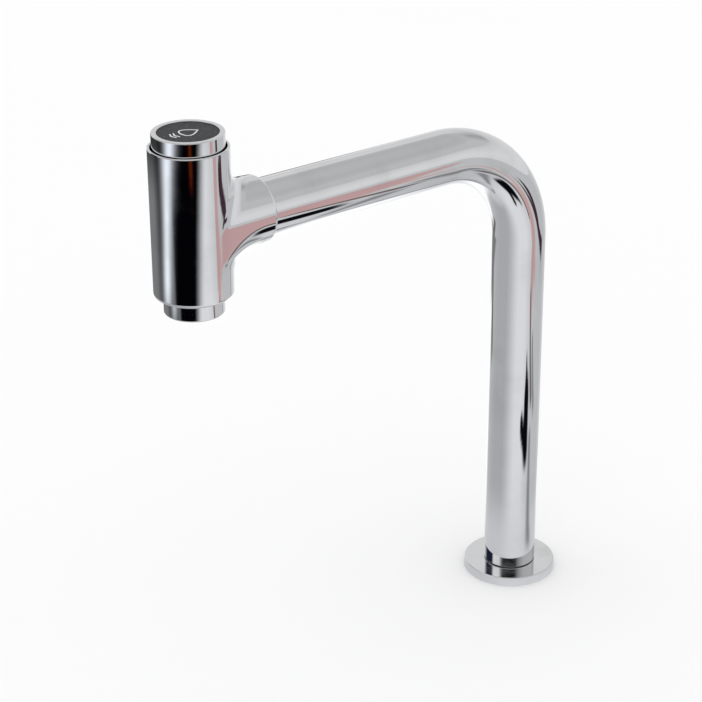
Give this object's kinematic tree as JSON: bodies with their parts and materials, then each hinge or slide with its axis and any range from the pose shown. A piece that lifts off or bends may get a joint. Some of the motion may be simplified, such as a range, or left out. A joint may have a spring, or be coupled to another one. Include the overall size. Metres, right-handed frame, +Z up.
{
  "type": "push-button basin tap",
  "caption": "Self-closing pillar tap: a push button on an upright head, carried by a tall bent tube that swivels on a round deck flange with a threaded shank.",
  "frame": {"origin": "on the riser's axis at the underside of the base flange, which is the top surface of the deck", "axes": "+Z up along the riser, the arm and head point towards -Y, +X is to the right of a user who faces the tap"},
  "size_m": [0.0504, 0.2472, 0.3585],
  "materials": {
    "chrome": "polished chrome plate on brass",
    "dark_insert": "dark grey plastic with a fine speckle",
    "brass": "turned brass, uncoated",
    "steel": "stainless steel, turned or wire",
    "black_rubber": "matt black sealing rubber",
    "black_plastic": "black low-friction plastic",
    "white_plastic": "white moulded valve plastic"
  },
  "bodies": {
    "base": {"base_flange": "chrome", "flange_gasket": "black_rubber", "shank_spigot": "brass", "spigot_seals": "black_rubber", "swivel_stop_pin": "steel", "spigot_split_ring": "white_plastic", "glide_ring": "black_plastic", "deck_rubber_washer": "black_rubber", "deck_metal_washer": "steel", "lock_nut": "brass", "inlet_strainer": "steel"},
    "spout": {"spout_tube": "chrome", "foot_bush": "brass", "arm_union": "brass", "union_seal": "black_rubber", "head_body": "chrome", "cartridge_housing": "white_plastic", "cartridge_seals": "black_rubber", "stem_seal": "black_rubber", "valve_seat": "steel", "cartridge_nut": "brass", "return_spring": "steel", "outlet_nozzle": "chrome", "nozzle_gasket": "black_rubber", "aerator_core": "white_plastic", "aerator_screen": "steel", "outlet_gasket": "black_rubber"},
    "button": {"button_cap": "chrome", "button_disc": "dark_insert", "push_stem": "steel", "piston": "white_plastic", "piston_lip_seal": "black_rubber", "bleed_jet": "brass", "valve_washer": "black_rubber", "washer_retainer": "brass"}
  },
  "joints": [
    {"name": "spout_swivel", "type": "hinge", "parent": "base", "child": "spout", "pos_m": [0, 0, 0.0055], "axis": [0, 0, 1], "range_deg": [-60, 60]},
    {"name": "button_press", "type": "slide", "parent": "spout", "child": "button", "axis": [0, 0, -1], "range_m": [0, 0.006], "stiffness_N_per_m": 1200, "springref_m": -0.008, "deforming": ["return_spring"]}
  ]
}
